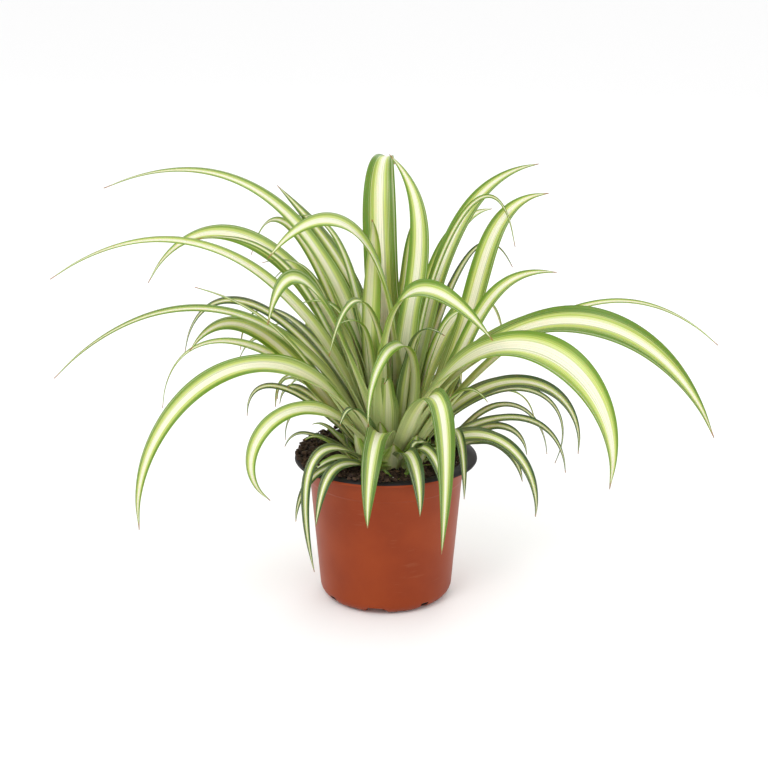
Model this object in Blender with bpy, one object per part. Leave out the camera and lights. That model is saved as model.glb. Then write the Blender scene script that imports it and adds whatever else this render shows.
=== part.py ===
"""Spider plant in a round nursery pot. Lengths in the tables are millimetres, angles are degrees."""
import bpy
import bmesh
import math
import numpy as np
from mathutils import Vector
from mathutils.kdtree import KDTree

MM = 0.001
GAP = 0.3                      # air between touching pieces

# Nursery pot
BRIM_RADIUS = 60.0
POT_HEIGHT = 97.0
BRIM_DROOP = 1.5               # how far the edge of the brim hangs below its top
BRIM_THICKNESS = 1.8
MOUTH_RADIUS = 51.5            # outside of the wall just under the brim
FOOT_RADIUS = 44.0
FOOT_CORNER = 8.0              # height and depth of the rounded foot corner
CORNER_STEPS = 4
WALL = 1.4
FLOOR_TOP = 5.0
COLLAR_DROP = 15.0             # the step lies this far under the brim
COLLAR_STEP = 0.7
BRIM_ROUND = 0.8               # rounding of the brim's outer edge
MOUTH_ROUND = 2.0              # rounding where the brim turns down into the pot
FLOOR_FILLET = 3.0
POT_SIDES = 64
CHANNELS = 8
CHANNEL_HEIGHT = 2.2
CHANNEL_START = 14.0
CHANNEL_END = 41.0             # the channels stop this far from the axis, short of the corner's edge
CHANNEL_RISE_BELOW = 1.5       # only points lower than this are part of the underside
CHANNEL_SIDES = (0, 1)         # which sides of the lathe, in each eighth, carry the channel
SLOT_LENGTH = 7.0
SLOT_HEIGHT = 2.6
SLOT_CENTRE = 5.6              # height of a slot's middle
SLOT_DEPTH = 12.0              # how far the cut reaches in and out
SLOT_INSET = 2.0

# Soil and the two crowns
SOIL_LEVEL = 86.0
MOUND_HEIGHT = 4.0
MOUND_START = 27.0             # the soil is level this far round the crown
MOUND_RUN = 20.0               # and rises over this distance
SOIL_SIDES = 40
SOIL_RINGS = (44.0, 37.0, 30.0, 15.0, 0.0)  # radii of the rings of points on its surface
SURFACE_BAND = 0.01            # points within this of the soil's level lie on its surface
CROWN_STEPS = 5
CROWN_SIDES = 24
MAIN_CROWN = (3.0, 0.0)
MAIN_RADII = (24.0, 20.0, 13.0)
SIDE_CROWN = (38.0, 16.0)
SIDE_RADII = (6.5, 6.5, 9.0)
SEAT_SPREAD = 7.0               # a leaf is seated this many degrees further out than it leans
SEAT_LIMIT = 84.0
LEAF_SEAT = 0.6                # air between a crown and the cut end of a leaf

# Leaves
BLADE_THICKNESS = 1.0
THINNEST = 0.35                # thickness of the narrowest stretch, as a part of the full thickness
THICKENS_OVER = 4.0            # and it grows by one full thickness over this much half width
BASE_SHARE = 0.45              # width at the crown, as a part of the full width
FULL_AT = 0.3                  # part of the length at which a blade is full
RISE_POWER = 0.8               # below 1, so that it widens quickly above the crown
FULL_TO = 0.5                  # part of the length at which it begins to taper
TAPER_POWER = 1.7              # above 1, so that the outline is convex up to the point
SLENDER_FULL_TO = 0.2          # the same two values for the slender leaves
SLENDER_POWER = 1.2
TIP_SHARE = 0.02
CHANNEL_DEPTH = 0.16           # how far the margins stand above the keel, as a part of the width
STATIONS = 43                  # points along a leaf while the leaves make room for each other
MESH_STEP = 3                  # every third station becomes a ring of the solid
STEM_PULL = 1.55               # a leaf is stiffer near its base, so its first handle is longer
TIP_PULL = 0.9
TURN_TO_LIGHT = 50.0           # a blade that grows sideways rolls its face this far towards the front
SLENDER_TURN = 22.0            # the same for a slender leaf, which stays nearer level
FULL_ROLL_AT = 0.25            # part of the length by which the roll is complete
FEELER = 2.8                   # blades nearer than this push each other apart
POT_CLEARANCE = 1.5            # a leaf passes this far over the brim
SOIL_CLEARANCE = 2.0
BRIM_ZONE = 6.0                # a leaf is counted as over the brim from this far inside the mouth
ROOM_ROUNDS = 120
HELD_PART = 1 / 12             # a leaf gives way fully past this part of its length, and its seat stays
SETTLED = 0.01                 # the rounds end when no point moves further than this
SAME_PLACE = 1e-6
SHARES = (-0.95, -0.5, 0.0, 0.5, 0.95)     # where across a blade its distance to others is felt

# name, azimuth (0 right, 90 back), lean from upright, reach from the crown, tip height,
# fall of the tip below level, width, sway (turn to the left on the way out)
MAIN_LEAVES = [
    ("left_long_1", 167, 9, 192, 265, 22, 13, 22),
    ("left_long_2", 183, 18, 215, 218, 35, 11, 0),
    ("left_long_3", 191, 23, 214, 162, 46, 9, 0),
    ("left_high_1", 133, 4, 112, 259, -28, 9, 0),
    ("left_high_2", 141, 18, 122, 212, 70, 5, 0),
    ("left_high_3", 156, 14, 181, 193, 60, 10.5, 0),
    ("left_high_4", 166, 19, 130, 234, 12, 4, 0),
    ("left_mid_1", 199, 30, 127, 221, -20, 7, 0),
    ("left_mid_2", 161, 24, 147, 151, 80, 5, 0),
    ("left_mid_3", 185, 33, 129, 171, 55, 10, 0),
    ("left_mid_4", 166, 33, 159, 115, 85, 7.5, 0),
    ("left_mid_5", 155, 34, 113, 147, 65, 4, 0),
    ("left_low_1", 210, 25, 178, 80, 95, 10.5, 0),
    ("left_low_2", 175, 38, 95, 120, 88, 3.5, 0),
    ("left_low_3", 160, 42, 79, 122, 80, 4.5, 0),
    ("left_low_4", 214, 30, 92, 84, 138, 8, 0),
    ("left_low_5", 150, 40, 83, 91, 90, 4, 0),
    ("left_front_1", 228, 50, 73, 36, 105, 5, 0),
    ("left_front_2", 222, 62, 81, 71, 85, 4, 0),
    ("left_front_3", 236, 60, 84, 74, 75, 6, 0),
    ("front_1", 259, 25, 76, 75, 96, 11, 0),
    ("front_2", -60, 38, 66, 84, 98, 6, 0),
    ("front_3", -75, 42, 70, 80, 98, 8, 0),
    ("front_4", -66, 30, 78, 56, 99, 11, 0),
    ("front_5", -105, 15, 55, 134, 92, 7, -120),
    ("front_tall_1", 218, -7, 94, 243, 42, 12, 0),
    ("front_tall_2", 222, 17, 100, 204, 75, 12, 0),
    ("front_tall_3", -130, 12, 18, 257, -35, 14, 34),
    ("front_tall_4", -116, 2, 85, 187, 75, 5, -28),
    ("front_tall_5", -50, 12, 95, 196, 52, 13.5, 75),
    ("back_tall_1", 88, 11, 84, 273, 32, 18, -14),
    ("back_tall_2", 91, 6, 44, 287, -32, 11, 44),
    ("right_high_1", 37, 12, 124, 275, 0, 9, 0),
    ("right_high_2", 58, 14, 134, 236, 8, 9, 0),
    ("right_high_3", 12, 7, 82, 232, 80, 3, -28),
    ("right_high_4", 22, 34, 111, 262, 0, 12, 0),
    ("right_mid_1", -5, 28, 105, 222, 5, 9, 0),
    ("right_mid_2", -38, 20, 166, 112, 100, 13.5, 0),
    ("right_mid_3", -24, 23, 213, 139, 67, 12, 0),
    ("right_mid_4", -10, 32, 207, 182, 42, 7, 0),
    ("right_low_1", 4, 32, 125, 93, 95, 7.5, 0),
    ("right_low_2", 14, 38, 115, 79, 115, 3, 0),
    ("right_low_3", 10, 52, 120, 75, 85, 4, 0),
    ("right_low_4", -12, 46, 97, 60, 95, 7, 0),
    ("back_1", 115, 33, 150, 120, 80, 9, 0),
    ("back_2", 92, 22, 135, 175, 55, 10, 0),
    ("back_3", 70, 36, 155, 95, 85, 8, 0),
    ("back_4", 130, 26, 130, 185, 50, 7, 0),
    ("back_5", 57, 28, 150, 140, 70, 9, 0),
    ("back_6", 100, 52, 95, 70, 95, 6, 0),
]
SIDE_LEAVES = [
    ("shoot_left", 246, 52, 52, 106, 50, 6, 0),
    ("shoot_front", -80, 36, 66, 84, 95, 5, 0),
    ("shoot_right_1", -25, 46, 57, 80, 80, 5, 0),
    ("shoot_right_2", 5, 42, 57, 88, 82, 4, 0),
    ("shoot_right_3", 24, 34, 80, 78, 85, 3, 0),
    ("shoot_upright", 60, 5, 24, 172, -80, 8, 0),
]

# These taper over most of their length and keep their faces nearly level.
SLENDER = (
    "left_long_1", "left_long_2", "left_long_3", "left_mid_1", "left_mid_4", "right_mid_4",
)
# These rise higher than a plain arc before they fall: their handles are longer by these factors.
HIGH_ARCHES = {
    "front_5": 1.9, "front_4": 2.0, "left_low_4": 1.4, "left_front_1": 1.4, "left_front_3": 1.25,
    "front_tall_5": 1.2, "shoot_front": 1.2,
}


def clear_scene():
    for old in list(bpy.data.objects):
        bpy.data.objects.remove(old, do_unlink=True)


def plain_material(name, colour, roughness):
    material = bpy.data.materials.new(name)
    material.use_nodes = True
    shader = material.node_tree.nodes["Principled BSDF"]
    shader.inputs["Base Color"].default_value = (*colour, 1.0)
    shader.inputs["Roughness"].default_value = roughness
    shader.inputs["Metallic"].default_value = 0.0
    return material


def object_from(name, mesh_builder, material):
    mesh = bpy.data.meshes.new(name)
    bmesh.ops.recalc_face_normals(mesh_builder, faces=mesh_builder.faces)
    mesh_builder.to_mesh(mesh)
    mesh_builder.free()
    mesh.materials.append(material)
    made = bpy.data.objects.new(name, mesh)
    bpy.context.scene.collection.objects.link(made)
    return made


# ---------------------------------------------------------------- pot and soil

def inner_radius(height):
    """Inside radius of the pot wall at a height."""
    share = (height - FOOT_CORNER) / (POT_HEIGHT - FOOT_CORNER)
    return FOOT_RADIUS + (MOUTH_RADIUS - FOOT_RADIUS) * share - WALL


def pot_profile():
    """Closed outline of the wall, from the middle of the underside round to the middle of the floor."""
    points = [(0.0, 0.0), (CHANNEL_START, 0.0), (FOOT_RADIUS - FOOT_CORNER, 0.0)]
    for step in range(1, CORNER_STEPS + 1):
        turn = math.radians(90 * step / CORNER_STEPS)
        radius = FOOT_RADIUS - FOOT_CORNER * (1 - math.sin(turn))
        points.append((radius, FOOT_CORNER * (1 - math.cos(turn))))
    collar = POT_HEIGHT - COLLAR_DROP
    points.append((inner_radius(collar) + WALL, collar))
    points.append((inner_radius(collar) + WALL + COLLAR_STEP, collar + COLLAR_STEP))
    under_brim = POT_HEIGHT - BRIM_THICKNESS
    points.append((MOUTH_RADIUS + COLLAR_STEP, under_brim))
    points.append((BRIM_RADIUS - BRIM_ROUND / 2, under_brim - BRIM_DROOP))
    points.append((BRIM_RADIUS, under_brim - BRIM_DROOP + BRIM_ROUND))
    points.append((BRIM_RADIUS - BRIM_ROUND / 2, POT_HEIGHT - BRIM_DROOP))
    points.append((MOUTH_RADIUS + MOUTH_ROUND / 2, POT_HEIGHT))
    points.append((inner_radius(POT_HEIGHT) + MOUTH_ROUND / 4, POT_HEIGHT - GAP))
    points.append((inner_radius(POT_HEIGHT - MOUTH_ROUND), POT_HEIGHT - MOUTH_ROUND))
    points.append((inner_radius(FOOT_CORNER + FLOOR_FILLET), FOOT_CORNER + FLOOR_FILLET))
    points.append((inner_radius(FOOT_CORNER) - FLOOR_FILLET, FLOOR_TOP))
    points.append((0.0, FLOOR_TOP))
    return points


def lathe(points, sides):
    """Turn an outline, which starts and ends on the axis, into a closed body."""
    body = bmesh.new()
    rings = []
    for radius, height in points:
        if radius == 0.0:
            rings.append([body.verts.new((0, 0, height * MM))])
            continue
        ring = []
        for side in range(sides):
            turn = 2 * math.pi * side / sides
            place = Vector((radius * math.cos(turn), radius * math.sin(turn), height)) * MM
            ring.append(body.verts.new(place))
        rings.append(ring)
    for low, high in zip(rings, rings[1:]):
        for side in range(sides):
            after = (side + 1) % sides
            lower = [low[side % len(low)], low[after % len(low)]]
            upper = [high[after % len(high)], high[side % len(high)]]
            body.faces.new(list(dict.fromkeys(lower + upper)))
    return body


def raise_channels(body):
    """Lift narrow radial strips of the underside, which let water run out under the foot."""
    per_channel = POT_SIDES // CHANNELS
    for vert in body.verts:
        radius = math.hypot(vert.co.x, vert.co.y) / MM
        side = round(math.atan2(vert.co.y, vert.co.x) / (2 * math.pi) * POT_SIDES) % POT_SIDES
        on_foot = CHANNEL_START < radius - GAP < CHANNEL_END and vert.co.z < CHANNEL_RISE_BELOW * MM
        if on_foot and side % per_channel in CHANNEL_SIDES:
            vert.co.z += CHANNEL_HEIGHT * MM


def drain_cutter():
    """Eight bars that cut the drain slots through the foot corner, between the channels."""
    bars = bmesh.new()
    for number in range(CHANNELS):
        turn = 2 * math.pi * (number + 0.5) / CHANNELS
        made = bmesh.ops.create_cube(bars, size=1.0)["verts"]
        for vert in made:
            out = FOOT_RADIUS - SLOT_INSET + vert.co.x * SLOT_DEPTH
            along = vert.co.y * SLOT_LENGTH
            up = SLOT_CENTRE + vert.co.z * SLOT_HEIGHT
            x = out * math.cos(turn) - along * math.sin(turn)
            y = out * math.sin(turn) + along * math.cos(turn)
            vert.co = (x * MM, y * MM, up * MM)
    return bars


def make_pot():
    body = lathe(pot_profile(), POT_SIDES)
    raise_channels(body)
    pot = object_from("pot", body, plain_material("terracotta_plastic", (0.35, 0.075, 0.027), 0.45))
    cutter = object_from("drain_cutter", drain_cutter(), plain_material("cutter", (1, 0, 0), 0.5))
    cutter.hide_render = True
    cutter.display_type = "WIRE"
    cut = pot.modifiers.new("drain slots", "BOOLEAN")
    cut.operation = "DIFFERENCE"
    cut.solver = "EXACT"
    cut.object = cutter


def soil_height(x, y):
    """Soil surface: level round the crowns, mounded towards the left of the pot."""
    rise = max(0.0, math.hypot(x - MAIN_CROWN[0], y) - MOUND_START) / MOUND_RUN
    leftward = max(0.0, -x / MOUTH_RADIUS)
    return SOIL_LEVEL + MOUND_HEIGHT * min(1.0, rise) * leftward


def make_soil():
    low = FOOT_CORNER + FLOOR_FILLET
    wall_share = (0.0, 0.5, 1.0)
    points = [(0.0, FLOOR_TOP + GAP), (inner_radius(FOOT_CORNER) - FLOOR_FILLET - 2 * GAP, FLOOR_TOP + GAP)]
    for share in wall_share:
        height = low + (SOIL_LEVEL - low) * share
        points.append((inner_radius(height) - 2 * GAP, height))
    for radius in SOIL_RINGS:
        points.append((radius, SOIL_LEVEL))
    body = lathe(points, SOIL_SIDES)
    for vert in body.verts:
        if vert.co.z > (SOIL_LEVEL - SURFACE_BAND) * MM:
            vert.co.z = soil_height(vert.co.x / MM, vert.co.y / MM) * MM
    object_from("potting_soil", body, plain_material("dark_peat", (0.026, 0.017, 0.012), 0.95))


def make_crown(name, centre, radii):
    """Short dome of rootstock that stands on the soil."""
    points = [(0.0, 0.0)]
    for step in range(CROWN_STEPS + 1):
        turn = math.radians(90 * step / CROWN_STEPS)
        points.append((math.cos(turn) if step < CROWN_STEPS else 0.0, math.sin(turn)))
    body = lathe(points, CROWN_SIDES)
    for vert in body.verts:
        unit = vert.co / MM
        x = centre[0] + unit.x * (radii[0] - LEAF_SEAT)
        y = centre[1] + unit.y * (radii[1] - LEAF_SEAT)
        z = SOIL_LEVEL + GAP + unit.z * (radii[2] - LEAF_SEAT)
        vert.co = (x * MM, y * MM, z * MM)
    object_from(name, body, plain_material("pale_rootstock", (0.55, 0.56, 0.30), 0.6))


# ---------------------------------------------------------------- leaves

def direction(azimuth, from_upright):
    a = math.radians(azimuth)
    t = math.radians(from_upright)
    return np.array([math.sin(t) * math.cos(a), math.sin(t) * math.sin(a), math.cos(t)])


def centre_line(leaf, centre, radii):
    """Leaf route: one cubic from the crown's skin to the tip, with handles like a circular arc's."""
    name, azimuth, lean, reach, tip_height, fall, width, sway = leaf
    root_direction = direction(azimuth - sway, lean)
    tip_direction = direction(azimuth + sway, 90 + fall)
    middle = np.array([centre[0], centre[1], SOIL_LEVEL + GAP])
    seat = direction(azimuth - sway / 2, min(SEAT_LIMIT, lean + SEAT_SPREAD))
    start = middle + seat * np.array(radii)
    a = math.radians(azimuth)
    tip = np.array([centre[0] + reach * math.cos(a), centre[1] + reach * math.sin(a), tip_height])
    turn = math.acos(float(np.clip(root_direction @ tip_direction, -1, 1)))
    handle = np.linalg.norm(tip - start) / (3 * math.cos(turn / 4) ** 2) * HIGH_ARCHES.get(name, 1.0)
    p1 = start + root_direction * handle * STEM_PULL
    p2 = tip - tip_direction * handle * TIP_PULL
    t = np.linspace(0, 1, STATIONS)[:, None]
    return (1 - t) ** 3 * start + 3 * (1 - t) ** 2 * t * p1 + 3 * (1 - t) * t ** 2 * p2 + t ** 3 * tip


def half_widths(width, slender):
    """Strap outline: narrow at the crown, full by a third of the way, and pointed at the end."""
    t = np.linspace(0, 1, STATIONS)
    rise = BASE_SHARE + (1 - BASE_SHARE) * np.clip(t / FULL_AT, 0, 1) ** RISE_POWER
    full_to = SLENDER_FULL_TO if slender else FULL_TO
    power = SLENDER_POWER if slender else TAPER_POWER
    taper = 1 - np.clip((t - full_to) / (1 - full_to), 0, 1) ** power
    return 0.5 * width * rise * np.maximum(taper, TIP_SHARE)


def frames(line, turn_to_light):
    """Sideways and upper-face directions along a leaf, turned about its line towards the front."""
    tangent = np.gradient(line, axis=0)
    tangent /= np.linalg.norm(tangent, axis=1)[:, None]
    plan = line[-1] - line[0]
    across = np.cross([0, 0, 1.0], plan)
    across /= np.linalg.norm(across)
    sideways = across - tangent * (tangent @ across)[:, None]
    sideways /= np.linalg.norm(sideways, axis=1)[:, None]
    upper = np.cross(tangent, sideways)
    roll = np.radians(turn_to_light) * -across[1] * np.clip(np.linspace(0, 1, STATIONS) / FULL_ROLL_AT, 0, 1)
    cosine = np.cos(roll)[:, None]
    sine = np.sin(roll)[:, None]
    return sideways * cosine - upper * sine, upper * cosine + sideways * sine


def make_room(lines, halves, turns):
    """Push crossing blades apart a little at a time, as growing leaves part each other."""
    owner = np.repeat(np.arange(len(lines)), STATIONS)
    give = np.clip(np.linspace(0, 1, STATIONS) / HELD_PART, 0, 1)[:, None]
    for _ in range(ROOM_ROUNDS):
        points = np.concatenate(lines)
        leaves = zip(lines, halves, turns)
        sides = np.concatenate([frames(line, turn)[0] * half[:, None] for line, half, turn in leaves])
        tree = KDTree(len(points) * len(SHARES))
        samples = np.concatenate([points + sides * share for share in SHARES])
        for index, point in enumerate(samples):
            tree.insert(point, index)
        tree.balance()
        push = np.zeros_like(points)
        count = np.zeros(len(points))
        for index, point in enumerate(samples):
            mine = index % len(points)
            for other, other_index, distance in tree.find_range(point, FEELER):
                theirs = other_index % len(points)
                if owner[theirs] == owner[mine] or distance < SAME_PLACE:
                    continue
                away = (point - np.array(other)) / distance
                push[mine] += away * (FEELER - distance) * 0.5
                count[mine] += 1
        push /= np.maximum(count, 1)[:, None]
        moved = 0.0
        for number in range(len(lines)):
            shift = push[number * STATIONS:(number + 1) * STATIONS]
            for _ in range(2):
                inner = (shift[:-2] + 2 * shift[1:-1] + shift[2:]) / 4
                shift = np.vstack([shift[:1], inner, shift[-1:]])
            lines[number] = lines[number] + shift * give
            moved = max(moved, float(np.abs(shift * give).max()))
            keep_clear_of_pot(lines[number], halves[number])
        if moved < SETTLED:
            break
    return lines


def keep_clear_of_pot(line, half):
    """Lift a leaf over the soil and the brim, and hold its hanging end outside the brim."""
    for index in range(1, STATIONS):
        x, y, z = line[index]
        radius = math.hypot(x, y)
        if radius < BRIM_RADIUS + POT_CLEARANCE:
            over_brim = radius > inner_radius(POT_HEIGHT) - BRIM_ZONE
            floor = POT_HEIGHT + POT_CLEARANCE if over_brim else soil_height(x, y) + SOIL_CLEARANCE
            if z < floor:
                line[index][2] = floor
        edge = BRIM_RADIUS + POT_CLEARANCE
        if z < POT_HEIGHT and MOUTH_RADIUS < radius < edge and index > STATIONS // 2:
            line[index][:2] *= edge / radius


def make_leaf(name, line, half, turn, material):
    rings_at = list(range(0, STATIONS - 1, MESH_STEP))
    sideways, upper = frames(line, turn)
    body = bmesh.new()
    rings = []
    for index in rings_at:
        reach = sideways[index] * half[index]
        lift = upper[index] * (CHANNEL_DEPTH * 2 * half[index])
        skin = upper[index] * (0.5 * BLADE_THICKNESS * min(1.0, THINNEST + half[index] / THICKENS_OVER))
        middle = line[index]
        corners = [middle - reach + lift, middle - skin, middle + reach + lift, middle + skin]
        rings.append([body.verts.new(Vector(corner) * MM) for corner in corners])
    tip = body.verts.new(Vector(line[-1]) * MM)
    body.faces.new(rings[0])
    for low, high in zip(rings, rings[1:]):
        for side in range(4):
            after = (side + 1) % 4
            body.faces.new([low[side], low[after], high[after], high[side]])
    for side in range(4):
        body.faces.new([rings[-1][side], rings[-1][(side + 1) % 4], tip])
    bmesh.ops.triangulate(body, faces=body.faces)
    object_from("leaf_" + name, body, material)


def make_leaves():
    leaf_material = plain_material("striped_leaf", (0.22, 0.36, 0.07), 0.4)
    names = []
    lines = []
    halves = []
    turns = []
    plants = ((MAIN_LEAVES, MAIN_CROWN, MAIN_RADII), (SIDE_LEAVES, SIDE_CROWN, SIDE_RADII))
    for table, centre, radii in plants:
        for leaf in table:
            names.append(leaf[0])
            lines.append(centre_line(leaf, centre, radii))
            halves.append(half_widths(leaf[6], leaf[0] in SLENDER))
            turns.append(SLENDER_TURN if leaf[0] in SLENDER else TURN_TO_LIGHT)
    lines = make_room(lines, halves, turns)
    for name, line, half, turn in zip(names, lines, halves, turns):
        make_leaf(name, line, half, turn, leaf_material)


clear_scene()
make_pot()
make_soil()
make_crown("crown", MAIN_CROWN, MAIN_RADII)
make_crown("side_shoot_crown", SIDE_CROWN, SIDE_RADII)
make_leaves()
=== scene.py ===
# %% [markdown]
# # A potted spider plant
# The frame holds the finished plant at its real size: a pot, its soil, two crowns and every leaf.
# This lesson gives each of them the surface that the eye expects. First the frame is loaded.

# %% Load the frame
import math

import bmesh
import bpy
import numpy as np
from mathutils import Matrix, Vector, noise


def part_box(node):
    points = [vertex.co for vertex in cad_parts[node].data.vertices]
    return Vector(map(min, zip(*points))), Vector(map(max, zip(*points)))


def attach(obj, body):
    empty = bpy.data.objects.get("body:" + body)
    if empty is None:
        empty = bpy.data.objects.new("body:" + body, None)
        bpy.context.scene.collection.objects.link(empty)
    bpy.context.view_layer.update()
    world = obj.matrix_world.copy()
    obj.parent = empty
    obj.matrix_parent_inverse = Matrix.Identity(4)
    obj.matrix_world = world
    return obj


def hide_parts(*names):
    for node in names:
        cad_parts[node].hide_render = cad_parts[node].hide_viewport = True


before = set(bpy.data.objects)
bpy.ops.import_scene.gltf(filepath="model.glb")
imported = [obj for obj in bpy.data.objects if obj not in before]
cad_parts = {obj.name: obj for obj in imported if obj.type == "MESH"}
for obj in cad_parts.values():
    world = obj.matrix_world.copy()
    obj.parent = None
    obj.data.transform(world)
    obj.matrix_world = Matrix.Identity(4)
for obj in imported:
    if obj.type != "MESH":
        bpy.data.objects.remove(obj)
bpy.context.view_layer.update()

MM = 0.001
NOISE_SEED = 7                 # without a seed, noise_vector takes its offset from the clock
noise.seed_set(NOISE_SEED)
leaf_nodes = sorted(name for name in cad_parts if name.startswith("leaf_"))
print("leaves in the frame:", len(leaf_nodes))

# %% [markdown]
# ## Shader sums written as sentences
# A node tree is hard to read as a list of links. Wrapping a socket in a small class lets a pattern be
# written as arithmetic, such as `1 - stripe * 2`, and each sign adds one Math node.

# %% A socket that can be added and multiplied


class Field:
    """A number that changes over a surface: one output socket of a material's node tree."""

    def __init__(self, paint, socket):
        self.paint = paint
        self.socket = socket

    def maths(self, operation, first, second=0.0):
        return self.paint.node("ShaderNodeMath", {"operation": operation}, {0: first, 1: second})

    def __add__(self, other):
        return self.maths("ADD", self, other)

    def __radd__(self, other):
        return self.maths("ADD", other, self)

    def __sub__(self, other):
        return self.maths("SUBTRACT", self, other)

    def __rsub__(self, other):
        return self.maths("SUBTRACT", other, self)

    def __mul__(self, other):
        return self.maths("MULTIPLY", self, other)

    def __rmul__(self, other):
        return self.maths("MULTIPLY", other, self)

    def __abs__(self):
        return self.maths("ABSOLUTE", self)

    def sine(self):
        return self.maths("SINE", self)

    def power(self, exponent):
        return self.maths("POWER", self, exponent)


class Paint:
    """A material whose nodes are made one call at a time."""

    def __init__(self, name, roughness, **constants):
        self.material = bpy.data.materials.new(name)
        self.material.use_nodes = True
        self.tree = self.material.node_tree
        self.shader = self.tree.nodes["Principled BSDF"]
        self.shader.inputs["Roughness"].default_value = roughness
        for socket, value in constants.items():
            self.shader.inputs[socket.replace("_", " ")].default_value = value

    def node(self, kind, settings=None, inputs=None, output=0):
        made = self.tree.nodes.new(kind)
        for setting, value in (settings or {}).items():
            setattr(made, setting, value)
        for socket, value in (inputs or {}).items():
            if isinstance(value, Field):
                self.tree.links.new(value.socket, made.inputs[socket])
            else:
                made.inputs[socket].default_value = value
        return Field(self, made.outputs[output])

    def blend(self, factor, first, second):
        """A colour between two colours."""
        return self.node("ShaderNodeMix", {"data_type": "RGBA"}, {0: factor, 6: first, 7: second}, output=2)

    def band(self, field, low, high):
        """0 below low, 1 above high and smooth between."""
        settings = {"interpolation_type": "SMOOTHSTEP"}
        return self.node("ShaderNodeMapRange", settings, {0: field, 1: low, 2: high, 3: 0.0, 4: 1.0})

    def grain(self, place, scale, detail=3.0):
        return self.node("ShaderNodeTexNoise", None, {"Vector": place, "Scale": scale, "Detail": detail})

    def stretched(self, place, scale):
        return self.node("ShaderNodeVectorMath", {"operation": "MULTIPLY"}, {0: place, 1: scale})

    def places(self):
        return self.node("ShaderNodeTexCoord", None, None, output=3)

    def feed(self, socket, field):
        self.tree.links.new(field.socket, self.shader.inputs[socket])

    def bump(self, height, distance, strength=1.0):
        values = {"Height": height, "Distance": distance, "Strength": strength}
        self.feed("Normal", self.node("ShaderNodeBump", None, values))


def rgb(red, green, blue):
    """A colour given as seen on a screen, 0 to 255, as the linear values that a shader takes."""
    shares = [channel / 255 for channel in (red, green, blue)]
    return (*[s / 12.92 if s <= 0.04045 else ((s + 0.055) / 1.055) ** 2.4 for s in shares], 1.0)


print("a mid green is", [round(c, 3) for c in rgb(110, 150, 50)])

# %% [markdown]
# ## The striped leaf
# A spider plant's leaf has a cream stripe down the middle, a yellow-green band on each side of it, and
# green margins. The colours follow the leaf's own veins, so they are drawn in the blade's UV map,
# where U runs across and V runs from the crown to the tip. Noise stretched along V frays the bands
# into streaks, and a finer noise lays green threads in the cream and cream ones over the whole leaf.
# Each leaf carries two numbers of its own, `depth` for how dark its green is and `stripe` for how wide
# its cream is, because no two leaves are alike. The base is pale, where it was hidden from light, and
# less so on the dark old leaves. The very tip is dry and brown.

# %% Leaf finish: upper face and underside

STREAKS = (34.0, 1.6, 1.0)     # how often each noise changes across the leaf and along it
THREADS = (58.0, 0.7, 1.0)
SLOW_DRIFT = (3.0, 2.2, 1.0)
WANDER = 0.16                  # how far the stripe strays from the middle
FRAY = 0.42                    # how ragged the bands' edges are
LIME_EDGE = (-0.12, 0.14)      # where each band begins and is full, outwards from the stripe's edge
GREEN_EDGE = (0.10, 0.44)
VEINS = 15
DRY_TIP = rgb(150, 112, 66)


def leaf_paint(name, cream, lime, green, dark, base, roughness, gloss):
    paint = Paint(name, roughness, Subsurface_Weight=0.12, Subsurface_Scale=0.003, Specular_IOR_Level=gloss)
    uv = paint.node("ShaderNodeUVMap", {"uv_map": "blade"})
    split = paint.node("ShaderNodeSeparateXYZ", None, {0: uv})
    across = split
    along = Field(paint, split.socket.node.outputs[1])
    depth = paint.node("ShaderNodeAttribute", {"attribute_name": "depth"}, output=2)
    stripe = paint.node("ShaderNodeAttribute", {"attribute_name": "stripe"}, output=2)
    streaks = paint.grain(paint.stretched(uv, STREAKS), 1.0)
    slow = paint.grain(paint.stretched(uv, SLOW_DRIFT), 1.0, 1.0)
    drift = (slow - 0.5) * WANDER
    from_middle = abs(across - 0.5 + drift) * 2 + (streaks - 0.5) * FRAY
    lime_part = paint.band(from_middle - stripe, *LIME_EDGE)
    green_part = paint.band(from_middle - stripe, *GREEN_EDGE)
    leafy = paint.blend(paint.band(depth + (streaks - 0.5) * 0.7, 0.25, 0.95), green, dark)
    colour = paint.blend(lime_part, cream, lime)
    colour = paint.blend(green_part, colour, leafy)
    threads = paint.grain(paint.stretched(uv, THREADS), 1.0, 3.0)
    inner = 1 - paint.band(from_middle, 0.62, 0.86)
    colour = paint.blend(paint.band(threads, 0.53, 0.61) * inner * 0.6, colour, leafy)
    colour = paint.blend((1 - paint.band(threads, 0.34, 0.42)) * 0.55, colour, cream)
    hidden = along + (slow - 0.5) * 0.2 + (threads - 0.5) * 0.9
    shaded_age = 1 - paint.band(depth, 0.6, 0.85) * 0.7
    pale_part = (1 - paint.band(hidden, 0.02, 0.5)) * shaded_age
    colour = paint.blend(pale_part * 0.76, colour, base)
    spent = paint.band(along + (streaks - 0.5) * 0.02, 0.975, 0.992)
    colour = paint.blend(spent, colour, DRY_TIP)
    paint.feed("Base Color", colour)
    paint.feed("Roughness", roughness + (streaks - 0.5) * 0.16)
    veins = (across * 2 * math.pi * VEINS).sine()
    paint.bump(veins * 0.5 + streaks, 0.00012, 0.6)
    return paint.material


upper_leaf = leaf_paint(
    "leaf_upper_face", rgb(242, 238, 212), rgb(188, 206, 100), rgb(94, 136, 22),
    rgb(46, 80, 26), rgb(210, 216, 152), 0.36, 0.4)
under_leaf = leaf_paint(
    "leaf_underside", rgb(222, 220, 180), rgb(194, 206, 116), rgb(124, 154, 50),
    rgb(76, 106, 46), rgb(210, 216, 156), 0.5, 0.3)
print("leaf finishes:", upper_leaf.name, under_leaf.name)

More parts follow.
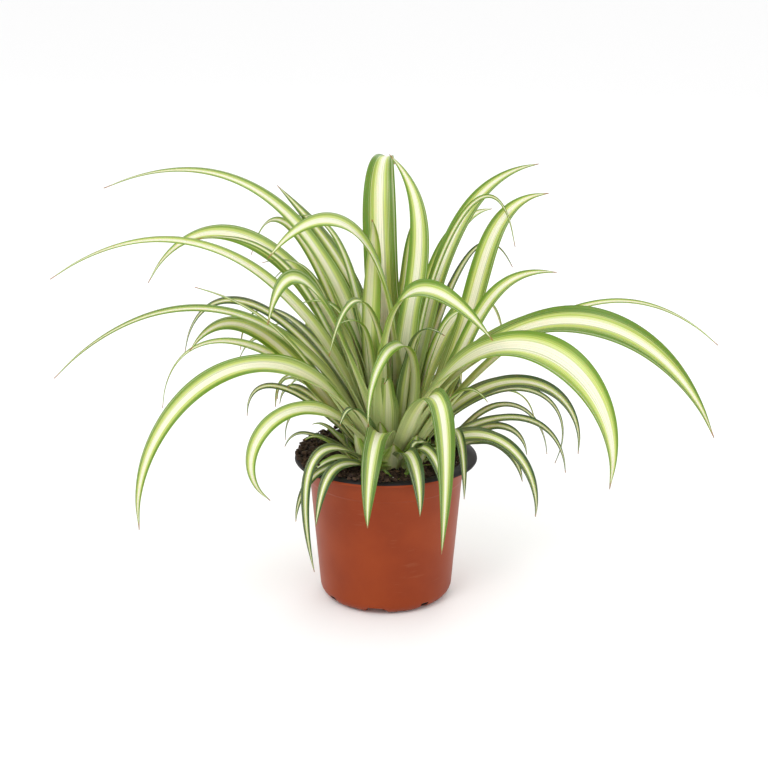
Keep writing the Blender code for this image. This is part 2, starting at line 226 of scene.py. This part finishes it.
# %% [markdown]
# ## Reading a leaf's line from the frame
# Each leaf in the frame is a thin closed strap: rings of four points, and one point at the tip. Walking
# from the tip along the edges meets the rings in order. In a ring, the two points furthest apart are
# the margins, and the other two lie on the keel and the upper face. That gives the leaf's middle line,
# its half width and its upper side without repeating any measurement.

# %% Rings of a frame leaf


def layers_from(start):
    """Points met when walking outwards along the edges from one point."""
    seen = {start}
    layer = [start]
    layers = []
    while layer:
        layers.append([vert.co.copy() for vert in layer])
        reached = {edge.other_vert(vert) for vert in layer for edge in vert.link_edges} - seen
        seen |= reached
        layer = sorted(reached, key=lambda vert: tuple(vert.co))
    return layers


def leaf_rings(name):
    """Rings from the crown to the tip. Seen from the tip, each layer has four points.

    At a narrow base two of the last four can be one point, and that ring is left out.
    """
    strap = bmesh.new()
    strap.from_mesh(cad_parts[name].data)
    bmesh.ops.remove_doubles(strap, verts=strap.verts, dist=0.000001)
    found = []
    for vert in strap.verts:
        if len(vert.link_edges) == 4:
            layers = layers_from(vert)
            if all(len(layer) == 4 for layer in layers[1:-1]) and len(layers[-1]) in (3, 4):
                found = layers
    strap.free()
    return [layer for layer in found[::-1] if len(layer) != 3]


def station(ring):
    """Middle, half-width vector and upper direction of one ring of four points."""
    pairs = [(a, b) for a in range(4) for b in range(a + 1, 4)]
    left, right = max(pairs, key=lambda pair: (ring[pair[0]] - ring[pair[1]]).length)
    others = [ring[k] for k in range(4) if k not in (left, right)]
    middle = (others[0] + others[1]) / 2
    half = (ring[right] - ring[left]) / 2
    upper = (ring[right] + ring[left]) / 2 - middle
    return middle, half, upper


missing = [name for name in leaf_nodes if not leaf_rings(name)]
print("leaves without clean rings:", missing)

# %% [markdown]
# ## Growing a smooth blade along that line
# The frame's straps are coarse, because they carry weight and contact and not looks. A fine grid is
# laid along the same line: its rows follow a curve through the rings, and its columns run from margin
# to margin in a channel, shallow along the leaf and deeper at the crown, where the leaf is folded and
# wide enough to wrap its neighbours. The margins ripple slightly. A Solidify modifier then gives the
# sheet a thickness of just under half a millimetre, with the underside's finish on its lower skin.

# %% Curve through the rings

BLADE_ROWS = 84
BLADE_COLUMNS = 12
BLADE_THICKNESS = 0.00045
CHANNEL = 0.30                 # how far the margins rise, as a part of the half width
FOLD = 0.42                    # how much further they rise at the crown, where the leaf is folded
SHEATH = 1.1                   # how much wider the base is, as it wraps the others
SHEATH_PART = 0.46             # over this part of the length
FULLER = 1.20                  # the blade is wider than its strap by a fifth
BROAD_END = 0.45               # how much wider two broad arches on the right get past their bend
BEND = 0.4                     # where a leaf bends, as a part of its length
RIPPLE = 0.03                  # margin ripple, as a part of the half width
RIPPLE_RATE = 26               # in radians over the length
RIPPLE_SHIFT = (1.7, 0.9)      # from one leaf to the next, and from one margin to the other
THINNEST = 0.00006             # smallest half width, so that no row of a blade closes up
SAMPLES_PER_ROW = 3


def smooth_through(points, count):
    """Points along a Catmull-Rom curve through the given ones."""
    known = np.array(points, float)
    padded = np.vstack([2 * known[0] - known[1], known, 2 * known[-1] - known[-2]])
    place = np.linspace(0, len(known) - 1, count)
    step = np.minimum(place.astype(int), len(known) - 2)
    t = (place - step)[:, None]
    p0, p1, p2, p3 = (padded[step + shift] for shift in range(4))
    return 0.5 * (2 * p1 + (p2 - p0) * t + (2 * p0 - 5 * p1 + 4 * p2 - p3) * t ** 2
                  + (3 * p1 - p0 - 3 * p2 + p3) * t ** 3)


def even_out(points, extra, count):
    """Spread rows evenly by length, and carry the other values along."""
    steps = np.linalg.norm(np.diff(points, axis=0), axis=1)
    length = np.concatenate([[0], np.cumsum(steps)])
    wanted = np.linspace(0, length[-1], count)
    every = [points, *extra]
    return [np.stack([np.interp(wanted, length, v[:, k]) for k in range(v.shape[1])], axis=1) for v in every]


def unit_rows(vectors):
    return vectors / np.maximum(np.linalg.norm(vectors, axis=1), 1e-9)[:, None]


def lines_of(rings):
    """Middle line, sideways direction, upper direction and half width, row by row."""
    stations = [station(ring) for ring in rings[:-1]]
    tip = rings[-1][0]
    upper = unit_rows(np.array([u for m, h, u in stations]))
    middles = np.array([m for m, h, u in stations] + [tip])
    tangent = unit_rows(np.gradient(middles, axis=0))[:-1]
    sideways = unit_rows(np.cross(tangent, upper))
    widths = np.array([[h.length] for m, h, u in stations] + [[0.0]])
    sideways = np.vstack([sideways, sideways[-1]])
    upper = np.vstack([upper, upper[-1]])
    parts = [smooth_through(v, BLADE_ROWS * SAMPLES_PER_ROW) for v in (middles, sideways, upper, widths)]
    middle, sideways, upper, width = even_out(parts[0], parts[1:], BLADE_ROWS)
    return middle, unit_rows(sideways), unit_rows(upper), np.maximum(width[:, 0], THINNEST)


# %% Blade mesh


def blade(name, lines, seed, depth, stripe, broad=0.0):
    """A leaf's sheet on the lines given, with its UV map and its own two numbers."""
    middle, sideways, upper, width = lines
    rows = len(middle)
    sheet = bmesh.new()
    bmesh.ops.create_grid(sheet, x_segments=BLADE_COLUMNS, y_segments=rows - 1, size=0.5, calc_uvs=False)
    uv = sheet.loops.layers.uv.new("blade")
    depth_layer = sheet.verts.layers.float.new("depth")
    stripe_layer = sheet.verts.layers.float.new("stripe")
    for face in sheet.faces:
        for loop in face.loops:
            loop[uv].uv = (loop.vert.co.x + 0.5, loop.vert.co.y + 0.5)
    for vert in sheet.verts:
        x = vert.co.x * 2
        along = vert.co.y + 0.5
        row = min(rows - 1, round(along * (rows - 1)))
        phase = seed * RIPPLE_SHIFT[0] + math.copysign(1.0, x) * RIPPLE_SHIFT[1]
        ripple = RIPPLE * abs(x) ** 3 * math.sin(along * RIPPLE_RATE + phase)
        wrap = max(0.0, 1 - along / SHEATH_PART)
        past_bend = max(0.0, math.sin(math.pi * (along - BEND) / (1 - BEND)))
        half = width[row] * (FULLER + SHEATH * wrap + broad * past_bend)
        rise = (CHANNEL + FOLD * wrap) * abs(x) ** 1.5 + ripple
        place = middle[row] + sideways[row] * half * x + upper[row] * half * rise
        vert.co = Vector(place)
        vert[depth_layer] = depth
        vert[stripe_layer] = stripe
    return finished(name, sheet, (upper_leaf, under_leaf), BLADE_THICKNESS)


def finished(name, builder, materials, thickness=0.0):
    """Turn a bmesh into a smooth object, with a wall if one is asked for."""
    mesh = bpy.data.meshes.new(name)
    builder.to_mesh(mesh)
    builder.free()
    mesh.shade_smooth()
    for material in materials:
        mesh.materials.append(material)
    made = bpy.data.objects.new(name, mesh)
    bpy.context.scene.collection.objects.link(made)
    if thickness:
        wall = made.modifiers.new("thickness", "SOLIDIFY")
        wall.thickness = thickness
        wall.offset = -1.0
        wall.material_offset = 1
        wall.material_offset_rim = 1
    return made


# %% [markdown]
# ## Every leaf in the frame
# One call grows each leaf. The numbers that set it apart are worked out from its place in the list
# with the golden ratio, which spreads them evenly and gives the same plant each time. The leaves of
# the side shoot, most that hang low and a few others are older and darker, with a narrow stripe.

# %% Grow the leaves

GOLDEN = 0.618034
DARK_WORDS = ("low", "shoot", "left_mid_2", "left_front", "front_2", "front_3")
BROAD_ARCHES = ("leaf_right_mid_2", "leaf_right_mid_3")
GREEN_ANYWAY = ("leaf_left_low_1", "leaf_left_low_4")
DARK_NUMBERS = (1.0, 0.22)              # depth and stripe
LEAST_NUMBERS = (0.12, 0.20)
NUMBERS_SPREAD = (0.5, 0.24)


def own_numbers(index, dark):
    spread = (index * GOLDEN) % 1.0
    other = (index * GOLDEN * GOLDEN) % 1.0
    if dark:
        return DARK_NUMBERS
    depth = LEAST_NUMBERS[0] + NUMBERS_SPREAD[0] * spread
    stripe = LEAST_NUMBERS[1] + NUMBERS_SPREAD[1] * other
    return depth, stripe


for index, node_name in enumerate(leaf_nodes):
    dark = any(word in node_name for word in DARK_WORDS) and node_name not in GREEN_ANYWAY
    depth, stripe = own_numbers(index, dark)
    broad = BROAD_END if node_name in BROAD_ARCHES else 0.0
    lines = lines_of(leaf_rings(node_name))
    leaf = blade(node_name.replace("leaf_", "blade_"), lines, index, depth, stripe, broad)
    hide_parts(node_name)
    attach(leaf, "root")
print("grown:", len(leaf_nodes))

# %% [markdown]
# ## The young leaves
# Between the main leaves stand thinner young ones. They follow a simple rule, like the big ones: a
# lean at the crown, a reach, a tip height and a fall at the tip, joined by one cubic curve.

# %% Grow the young leaves

YOUNG_LEAVES = [
    # azimuth, lean, reach, tip height, fall, width, in degrees and millimetres
    (162, 20, 88, 219, 20, 4), (150, 24, 118, 150, 85, 5), (147, 26, 104, 148, 80, 5),
    (170, 34, 76, 130, 85, 5), (196, 58, 58, 112, 30, 5), (190, 54, 70, 106, 65, 5),
    (164, 56, 54, 112, 20, 5), (215, 56, 66, 86, 70, 4), (135, 12, 96, 240, 20, 5),
    (32, 16, 96, 210, 60, 5), (-45, 48, 48, 106, 60, 5), (75, 16, 90, 226, 40, 6),
    (110, 38, 110, 112, 90, 7), (62, 44, 108, 94, 90, 7), (140, 40, 104, 106, 88, 6),
    (20, 42, 104, 106, 80, 5), (-150, 12, 40, 190, 20, 7), (-40, 10, 44, 186, 20, 7),
    (-95, 16, 46, 160, 10, 7), (170, 14, 60, 196, 20, 8), (10, 18, 62, 190, 20, 8),
    (-125, 26, 56, 132, 60, 6), (-20, 30, 66, 140, 50, 6), (200, 26, 70, 150, 45, 6),
]
YOUNG_SEED = 100
DARK_EVERY = 4
SEAT_LOWER = 7                 # degrees that a leaf's seat on the dome lies beyond its own lean
DOME_SIDE = 0.83               # the dome is narrower from front to back
ROOT_PULL = 1.55               # the curve's two handles, against those of a round arc
TIP_PULL = 0.9
SLIMMER = 0.62                 # half width, against the width in the list
BASE_SHARE = 0.45              # how wide the base is, against the middle
WIDENS_OVER = 0.3
TAPERS_OVER = 0.6
crown_low, crown_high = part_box("crown")
crown_middle = (crown_low + crown_high) / 2
crown_radius = (crown_high.x - crown_low.x) / 2 / MM


def heading(azimuth, from_upright):
    """A direction as a unit vector, from two angles in degrees."""
    a = math.radians(azimuth)
    t = math.radians(from_upright)
    return np.array([math.sin(t) * math.cos(a), math.sin(t) * math.sin(a), math.cos(t)])


def young_lines(azimuth, lean, reach, tip_height, fall, width, seat=None):
    """A young leaf's lines. The seat is an angle from upright, taken from the lean if none is given."""
    root = heading(azimuth, lean)
    end = heading(azimuth, 90 + fall)
    middle = np.array([crown_middle.x, crown_middle.y, crown_low.z]) / MM
    depth_of_crown = (crown_high.z - crown_low.z) / MM
    seat_direction = heading(azimuth, lean + SEAT_LOWER if seat is None else seat)
    start = middle + seat_direction * np.array([crown_radius, crown_radius * DOME_SIDE, depth_of_crown])
    flat = heading(azimuth, 90)
    tip = np.array([middle[0] + reach * flat[0], middle[1] + reach * flat[1], tip_height])
    turn = math.acos(float(np.clip(root @ end, -1, 1)))
    handle = np.linalg.norm(tip - start) / (3 * math.cos(turn / 4) ** 2)
    t = np.linspace(0, 1, BLADE_ROWS)[:, None]
    near = start + root * handle * ROOT_PULL
    far = tip - end * handle * TIP_PULL
    line = (1 - t) ** 3 * start + 3 * (1 - t) ** 2 * t * near + 3 * (1 - t) * t ** 2 * far + t ** 3 * tip
    tangent = unit_rows(np.gradient(line, axis=0))
    across = np.cross([0, 0, 1.0], flat)
    sideways = unit_rows(across - tangent * (tangent @ across)[:, None])
    upper = np.cross(tangent, sideways)
    taper = np.clip((1 - t[:, 0]) / TAPERS_OVER, 0, 1) ** 0.8
    widening = BASE_SHARE + (1 - BASE_SHARE) * np.clip(t[:, 0] / WIDENS_OVER, 0, 1)
    half = SLIMMER * width * widening * taper
    return line * MM, -sideways, upper, np.maximum(half * MM, THINNEST)


for index, young in enumerate(YOUNG_LEAVES):
    depth, stripe = own_numbers(index + YOUNG_SEED, index % DARK_EVERY == 1)
    leaf = blade("young_blade_%d" % (index + 1), young_lines(*young), index + YOUNG_SEED, depth, stripe)
    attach(leaf, "root")
print("young leaves:", len(YOUNG_LEAVES))

# %% [markdown]
# ## Sheaths round the crown
# The oldest leaves have been cut or have withered, and their broad bases still wrap the crown. They
# are short, pale and pointed, and they hide the stock. Three rings of them stand round it, from the
# same cubic line, with the widest ring's seat lowest on the dome. Each sheath is turned a little
# further than the one before, so that the rings look uneven.

# %% Grow the sheaths

SHEATH_RINGS = [
    # seat, lean, reach, tip height, width and count, in degrees and millimetres
    (86, 30, 36, 102, 10, 14),
    (66, 24, 28, 112, 10, 13),
    (46, 15, 18, 122, 9, 11),
]
SHEATH_SEED = 200
SHEATH_FALL = -60              # their tips point up and outwards
SHEATH_DEPTH = 0.2
SHEATH_STRIPE = 0.3
RING_TURN = GOLDEN * 0.3       # how far each sheath turns from an even ring, in shares of its pitch
UNEVEN = 10                    # some are taller and some shorter, in millimetres
UNEVEN_RATE = 2.4
number = 0
for seat, lean, reach, tip_height, width, count in SHEATH_RINGS:
    for place in range(count):
        number += 1
        azimuth = 360 * (place + number * RING_TURN) / count
        taller = UNEVEN * math.sin(number * UNEVEN_RATE)
        lines = young_lines(azimuth, lean, reach, tip_height + taller, SHEATH_FALL, width, seat)
        sheath = blade("sheath_%d" % number, lines, number + SHEATH_SEED, SHEATH_DEPTH, SHEATH_STRIPE)
        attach(sheath, "root")
print("sheaths:", number)

# %% [markdown]
# ## The pot
# A nursery pot is blown or moulded from two layers, terracotta outside and black inside, so its brim
# shows the black one. The wall is thin, steps out slightly below the brim, and stands on a rounded
# foot. It is turned with a spin from one outline, whose size comes from the frame's pot. The foot's
# edge is then lifted into four wide arches. Half way between them are four drain slots with a notch
# under each, and a small notch stands on both sides of every slot. The brim is pressed back in front.

# %% Turn the pot

pot_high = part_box("pot")[1]
BRIM = pot_high.x
HEIGHT = pot_high.z
MOUTH = BRIM * 0.8583
FOOT = BRIM * 0.7333
CORNER = 0.008
COLLAR = HEIGHT - 0.015
SPIN_STEPS = 256
CHANNELS = 8
FIRST_CHANNEL = math.radians(-99)
SLOT_SIZE = (0.012, 0.0055, 0.0017)
SLOT_HEIGHT = 0.0046
WALL = 0.0014
FLOOR = 0.005                  # height of the floor's upper face
SAME_POINT = 0.00001
UNDERSIDE = (0.0, 0.010, 0.014, 0.020, 0.027)          # radii of its rings
CORNER_STEPS = 8
WALL_SHARES = (0.12, 0.3, 0.5, 0.7, 0.9, 0.99)         # rings between the foot's corner and the collar
COLLAR_STEP = ((0.0001, 0.0), (0.0006, 0.0005), (0.0007, 0.001))   # out from the wall, up from the collar
# The brim's section, outwards from the mouth or inwards from its edge, and downwards from its top.
UNDER_BRIM = ((0.0006, 0.0034), (0.0012, 0.0022), (0.0026, 0.0019))
BRIM_EDGE = ((0.0015, 0.0030), (0.0004, 0.0033), (0.0, 0.0027),
             (0.0002, 0.0017), (0.0010, 0.0011), (0.0040, 0.0004))
BRIM_TOP_RINGS = ((0.0010, 0.0), (-0.0005, 0.0003), (-0.0013, 0.0012))
INNER_RINGS = (HEIGHT - 0.004, 0.05, 0.011)            # heights of the rings inside the wall


def wall_radius(height):
    """Outer radius of the tapered wall at a height."""
    return FOOT + (MOUTH - FOOT) * (height - CORNER) / (HEIGHT - CORNER)


def outline():
    """Points from the middle of the underside, up the outside, over the brim and down to the floor."""
    points = [(radius, 0.0) for radius in (*UNDERSIDE, FOOT - CORNER)]
    for step in range(1, CORNER_STEPS + 1):
        turn = math.radians(90 * step / CORNER_STEPS)
        points.append((FOOT - CORNER * (1 - math.sin(turn)), CORNER * (1 - math.cos(turn))))
    for share in WALL_SHARES:
        height = CORNER + (COLLAR - CORNER) * share
        points.append((wall_radius(height), height))
    points += [(wall_radius(COLLAR) + out, COLLAR + up) for out, up in COLLAR_STEP]
    points += [(MOUTH + out, HEIGHT - down) for out, down in UNDER_BRIM]
    points += [(BRIM - back, HEIGHT - down) for back, down in BRIM_EDGE]
    points += [(MOUTH + out, HEIGHT - down) for out, down in BRIM_TOP_RINGS]
    points += [(wall_radius(height) - WALL, height) for height in INNER_RINGS]
    points += [(wall_radius(CORNER) - 0.0044, FLOOR), (0.0, FLOOR)]
    return points


WIDE_NOTCH = (0.0047, 0.0082)       # height and half width
SLOT_NOTCH = (0.0030, 0.0046)
SMALL_NOTCH = (0.0016, 0.0034)
NOTCH_RUN = (0.020, 0.016)          # a notch starts this far inside the foot's edge and rises over this
PRESSED = 0.66                      # how much of the brim's width is lost in front
BRIM_DEPTH = 0.0036
BRIM_ROOT = 0.0006                  # the brim starts this far outside the mouth


def notch_height(angle):
    """How far the foot is lifted here: wide arches, notches under the slots, and a small one between."""
    pitch = math.pi / CHANNELS
    place = (angle - FIRST_CHANNEL) / pitch
    offset = (place - round(place)) * pitch * FOOT
    notch = (WIDE_NOTCH, SMALL_NOTCH, SLOT_NOTCH, SMALL_NOTCH)[round(place) % 4]
    return notch[0] * max(0.0, 1 - (offset / notch[1]) ** 4) ** 0.5


def brim_share(angle):
    """How much of the brim's width stands out here. It is pressed back in front."""
    return 1 - PRESSED * max(0.0, -math.sin(angle)) ** 2


def turned_pot():
    """The outline spun into a body, its foot notched, its brim pressed, and its two layers told apart."""
    body = bmesh.new()
    line = [body.verts.new((radius, 0, height)) for radius, height in outline()]
    edges = [body.edges.new(pair) for pair in zip(line, line[1:])]
    bmesh.ops.spin(
        body, geom=line + edges, cent=(0, 0, 0), axis=(0, 0, 1), angle=2 * math.pi,
        steps=SPIN_STEPS, use_merge=True)
    bmesh.ops.remove_doubles(body, verts=body.verts, dist=SAME_POINT)
    for vert in body.verts:
        radius = math.hypot(vert.co.x, vert.co.y)
        angle = math.atan2(vert.co.y, vert.co.x)
        if vert.co.z < 0.0045 and 0.015 < radius:
            ramp = min(1.0, max(0.0, (radius - FOOT + NOTCH_RUN[0]) / NOTCH_RUN[1]))
            vert.co.z = max(vert.co.z, notch_height(angle) * ramp)
        flange = radius - MOUTH - BRIM_ROOT
        if vert.co.z > HEIGHT - BRIM_DEPTH and flange > 0:
            pressed = 1 - flange * (1 - brim_share(angle)) / radius
            vert.co.x *= pressed
            vert.co.y *= pressed
    bmesh.ops.recalc_face_normals(body, faces=body.faces)
    for face in body.faces:
        middle = face.calc_center_median()
        radius = math.hypot(middle.x, middle.y)
        inside = radius < wall_radius(middle.z) - 0.0007 and middle.z > 0.0048
        # The black layer is rolled over the brim's edge, and less where the brim is pressed back.
        rolled = brim_share(math.atan2(middle.y, middle.x)) ** 2
        brim = middle.z > HEIGHT - 0.0014 - 0.0024 * rolled
        face.material_index = 1 if inside or brim else 0
    return body


# %% Pot finish


def moulded(name, colour, worn, roughness):
    """Plastic with soft blotches, faint level scuffs and a fine grain."""
    paint = Paint(name, roughness, Specular_IOR_Level=0.2)
    place = paint.places()
    blotch = paint.grain(place, 28.0, 4.0)
    fine = paint.grain(place, 900.0, 2.0)
    rub = paint.grain(paint.stretched(place, (60.0, 60.0, 420.0)), 1.0, 3.0)
    scuffs = paint.band(rub * blotch, 0.36, 0.46)
    shaded = paint.blend(paint.band(blotch, 0.3, 0.75), colour, worn)
    paint.feed("Base Color", paint.blend(scuffs * 0.06, shaded, rgb(196, 150, 120)))
    paint.feed("Roughness", roughness + (blotch - 0.5) * 0.18 + scuffs * 0.1)
    paint.bump(fine + blotch * 0.6, 0.00006, 0.5)
    return paint.material


terracotta = moulded("terracotta_plastic", rgb(144, 58, 18), rgb(132, 50, 15), 0.42)
black_layer = moulded("black_plastic", rgb(24, 22, 24), rgb(34, 30, 30), 0.5)

pot = finished("nursery_pot", turned_pot(), (terracotta, black_layer))
pot.data.set_sharp_from_angle(angle=math.radians(35))
slots = bmesh.new()
for number in range(1, CHANNELS, 2):
    turn = FIRST_CHANNEL + 2 * math.pi * number / CHANNELS
    place = Matrix.Rotation(turn, 4, "Z") @ Matrix.Translation((FOOT - 0.002, 0, SLOT_HEIGHT))
    shape = place @ Matrix.Diagonal((*SLOT_SIZE, 1))
    bmesh.ops.create_cube(slots, size=1.0, matrix=shape)
cutter = finished("slot_cutter", slots, (black_layer,))
cut = pot.modifiers.new("drain slots", "BOOLEAN")
cut.solver = "EXACT"
cut.object = cutter
pot.data = bpy.data.meshes.new_from_object(pot.evaluated_get(bpy.context.evaluated_depsgraph_get()))
pot.modifiers.clear()
bpy.data.objects.remove(cutter)
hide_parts("pot")
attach(pot, "root")
print("pot faces:", len(pot.data.polygons))

# %% [markdown]
# ## The soil
# Potting soil is dark peat, damp and crumbly, with bark fibres and a few pale grains of perlite. A plug
# with a rough top carries the shape, higher at the wall than round the crown. Hundreds of small broken
# crumbs lie on it, and more were spilled on the brim, mostly on the left. Each crumb is an icosphere
# of twenty faces, pulled out of round by noise, so that the heap stays light.

# %% Rough soil surface

soil_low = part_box("potting_soil")[0]
SOIL_RADIUS = wall_radius(HEIGHT - 0.006) - 0.0019
SOIL_STEPS = 160
PLUG_FOOT = (wall_radius(0.011) - 0.0056, soil_low.z)  # radius and height of its lower edge
PLUG_CORNER = (wall_radius(0.014) - 0.002, 0.014)
RIM_ROWS = 46
CLEAR_OF_CROWN = 0.006         # the soil lies level this far from the middle of the crown
MOUND_RUN = 0.013              # and rises over this distance
MOUND = 0.0065                 # to this much higher at the wall
LEFT_MOUND = 0.0040            # and as much again on the left


def soil_level(x, y):
    """Surface height: level round the crown, mounded towards the left of the pot."""
    away = min(1.0, max(0.0, math.hypot(x - crown_middle.x, y) - CLEAR_OF_CROWN) / MOUND_RUN)
    mound = (MOUND + LEFT_MOUND * max(0.0, -x / MOUTH)) * away
    lumpy = noise.noise(Vector((x, y, 0.3)) * 160) * 0.0009
    rough = lumpy + noise.noise(Vector((x, y, 1.7)) * 520) * 0.0005
    return crown_low.z - 0.0004 + mound + rough


peat = Paint("damp_peat", 0.92, Specular_IOR_Level=0.25)
lumps = peat.grain(peat.places(), 300.0, 6.0)
fleck = peat.grain(peat.places(), 1500.0, 2.0)
peat_colour = peat.blend(peat.band(lumps, 0.35, 0.7), rgb(42, 31, 25), rgb(84, 64, 50))
peat.feed("Base Color", peat.blend(peat.band(fleck, 0.68, 0.74) * 0.4, peat_colour, rgb(120, 98, 76)))
peat.feed("Roughness", 0.84 + lumps * 0.12)
peat.bump(lumps + fleck * 0.5, 0.0006, 0.8)

plug = bmesh.new()
profile = [(0.0, soil_low.z), PLUG_FOOT, PLUG_CORNER]
top = crown_low.z
profile += [(SOIL_RADIUS * (1 - row / RIM_ROWS), top) for row in range(RIM_ROWS + 1)]
points = [plug.verts.new((radius, 0, height)) for radius, height in profile]
edges = [plug.edges.new(pair) for pair in zip(points, points[1:])]
bmesh.ops.spin(
    plug, geom=points + edges, cent=(0, 0, 0), axis=(0, 0, 1), angle=2 * math.pi,
    steps=SOIL_STEPS, use_merge=True)
bmesh.ops.remove_doubles(plug, verts=plug.verts, dist=SAME_POINT)
for vert in plug.verts:
    if vert.co.z > top - 0.0001:
        vert.co.z = soil_level(vert.co.x, vert.co.y)
bmesh.ops.recalc_face_normals(plug, faces=plug.faces)
soil = finished("soil_plug", plug, (peat.material,))
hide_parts("potting_soil")
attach(soil, "root")
print("soil faces:", len(soil.data.polygons))

# %% Crumbs, bark and perlite

BRIM_TOP = HEIGHT - 0.0004
SPILLED_PART = 0.72            # of the crumbs on the brim, those in the heap on the left
SPILL_ANGLE = (172, 30)        # its middle and spread, in degrees
SPILL_HEIGHT = 0.0032
INNER_EDGE = MOUTH - 0.006
DROOP = 0.16                   # the brim's top falls this much for each step outwards
FULL_TURN = 6.28


def on_soil(dice):
    """A place anywhere on the soil."""
    radius = SOIL_RADIUS * 0.97 * math.sqrt(dice.uniform(0.0, 1.0))
    angle = dice.uniform(0, 2 * math.pi)
    x = radius * math.cos(angle)
    y = radius * math.sin(angle)
    return x, y, soil_level(x, y)


def on_brim(dice):
    """A place on the left of the brim, where soil was spilled, or on the brim's inner edge elsewhere."""
    spilled = dice.uniform() < SPILLED_PART
    angle = math.radians(dice.normal(*SPILL_ANGLE) if spilled else dice.uniform(0, 360))
    outer = MOUTH + (BRIM - MOUTH - 0.0015) * brim_share(angle) if spilled else MOUTH
    radius = dice.uniform(INNER_EDGE, outer)
    heap = SPILL_HEIGHT * dice.uniform() if spilled else 0.0
    droop = max(0.0, radius - MOUTH) * DROOP
    return radius * math.cos(angle), radius * math.sin(angle), BRIM_TOP + heap - droop


def crumbs(name, where, count, smallest, largest, stretch, seed, material):
    """A scatter of broken grains, lying where the given function says."""
    dice = np.random.default_rng(seed)
    heap = bmesh.new()
    for _ in range(count):
        x, y, z = where(dice)
        size = smallest + (largest - smallest) * dice.uniform() ** 2.5
        spin = Matrix.Rotation(dice.uniform(0, FULL_TURN), 4, "Z")
        turn = spin @ Matrix.Rotation(dice.uniform(-0.7, 0.7), 4, "X")
        width = size * dice.uniform(0.6, 1.0)
        shape = Matrix.Diagonal((size * stretch, width, size * dice.uniform(0.5, 0.9), 1))
        place = Matrix.Translation((x, y, z + size * 0.2))
        made = bmesh.ops.create_icosphere(heap, subdivisions=1, radius=1.0, matrix=place @ turn @ shape)
        for vert in made["verts"]:
            vert.co += noise.noise_vector(vert.co * 900) * size * 0.35
    heap_object = finished(name, heap, (material,))
    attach(heap_object, "root")
    return heap_object


bark = Paint("bark_fibre", 0.85)
bark_grain = bark.grain(bark.stretched(bark.places(), (400.0, 400.0, 1600.0)), 1.0)
bark.feed("Base Color", bark.blend(bark_grain, rgb(62, 44, 32), rgb(124, 92, 64)))
bark.bump(bark_grain, 0.0003)
perlite = Paint("perlite_grain", 0.8)
perlite_grain = perlite.grain(perlite.places(), 1400.0)
perlite.feed("Base Color", perlite.blend(perlite_grain, rgb(176, 170, 156), rgb(222, 218, 206)))
perlite.bump(perlite_grain, 0.0003)
heaps = [
    crumbs("soil_crumbs", on_soil, 1500, 0.0006, 0.0024, 1.1, 4, peat.material),
    crumbs("spilled_soil", on_brim, 900, 0.0007, 0.0022, 1.1, 6, peat.material),
    crumbs("bark_bits", on_soil, 90, 0.0005, 0.0011, 4.0, 9, bark.material),
    crumbs("perlite_bits", on_soil, 26, 0.0004, 0.0010, 1.1, 16, perlite.material),
]
print("heap faces:", [len(heap.data.polygons) for heap in heaps])

# %% [markdown]
# ## The crowns
# The crown is the short stock that every leaf grows from. It is nearly white where the leaf bases wrap
# it, and brownish at the soil. The frame's dome already has the right shape, so it is kept and painted.

# %% Crown finish

stock = Paint("pale_rootstock", 0.55, Subsurface_Weight=0.2, Subsurface_Scale=0.002)
stock_grain = stock.grain(stock.stretched(stock.places(), (300.0, 300.0, 90.0)), 1.0)
height_split = stock.node("ShaderNodeSeparateXYZ", None, {0: stock.places()}, output=2)
stained = 1 - stock.band(height_split + (stock_grain - 0.5) * 0.004, crown_low.z, crown_low.z + 0.006)
stock_colour = stock.blend(stock_grain, rgb(206, 212, 156), rgb(226, 228, 188))
stock.feed("Base Color", stock.blend(stained, stock_colour, rgb(112, 88, 58)))
stock.bump(stock_grain, 0.0004)
for crown_name in ("crown", "side_shoot_crown"):
    crown_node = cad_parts[crown_name]
    crown_node.data.materials.clear()
    crown_node.data.materials.append(stock.material)
print("crown height in mm:", round((crown_high.z - crown_low.z) / MM, 1))

# %% [markdown]
# ## Floor, light and camera
# A large pale floor and an even white surround make a plain studio. Three soft lamps add shape to the
# plant: the key lamp high on the left, a wide weaker one on the right, and one behind.

# %% Studio

floor_paint = Paint("studio_floor", 0.9)
floor_paint.shader.inputs["Base Color"].default_value = (0.97, 0.97, 0.97, 1.0)
ground = bmesh.new()
bmesh.ops.create_grid(ground, x_segments=1, y_segments=1, size=6.0)
floor = finished("floor", ground, (floor_paint.material,))
floor.data.transform(Matrix.Translation((0, 0, -0.0002)))

world = bpy.data.worlds.new("studio")
world.use_nodes = True
world.node_tree.nodes["Background"].inputs["Color"].default_value = (1.0, 1.0, 1.0, 1.0)
world.node_tree.nodes["Background"].inputs["Strength"].default_value = 1.0
bpy.context.scene.world = world


def lamp(name, place, target, size, power):
    light = bpy.data.lights.new(name, "AREA")
    light.shape = "DISK"
    light.size = size
    light.energy = power
    made = bpy.data.objects.new(name, light)
    made.location = place
    made.rotation_euler = (Vector(target) - Vector(place)).to_track_quat("-Z", "Y").to_euler()
    bpy.context.scene.collection.objects.link(made)


middle_of_plant = (0, 0, 0.15)
lamp("key_lamp", (-0.7, -1.2, 1.5), middle_of_plant, 0.8, 11)
lamp("fill_lamp", (1.3, -0.8, 0.9), middle_of_plant, 1.2, 3)
lamp("back_lamp", (0.3, 1.3, 1.2), middle_of_plant, 0.9, 4)

bpy.context.scene.view_settings.view_transform = "Standard"
camera_data = bpy.data.cameras.new("camera")
camera_data.lens = 79.8
camera_data.sensor_width = 36.0
camera = bpy.data.objects.new("camera", camera_data)
camera.location = (-0.0013, -1.05, 0.49)
camera.rotation_euler = (math.radians(90 - 18.2), 0, 0)
bpy.context.scene.collection.objects.link(camera)
bpy.context.scene.camera = camera
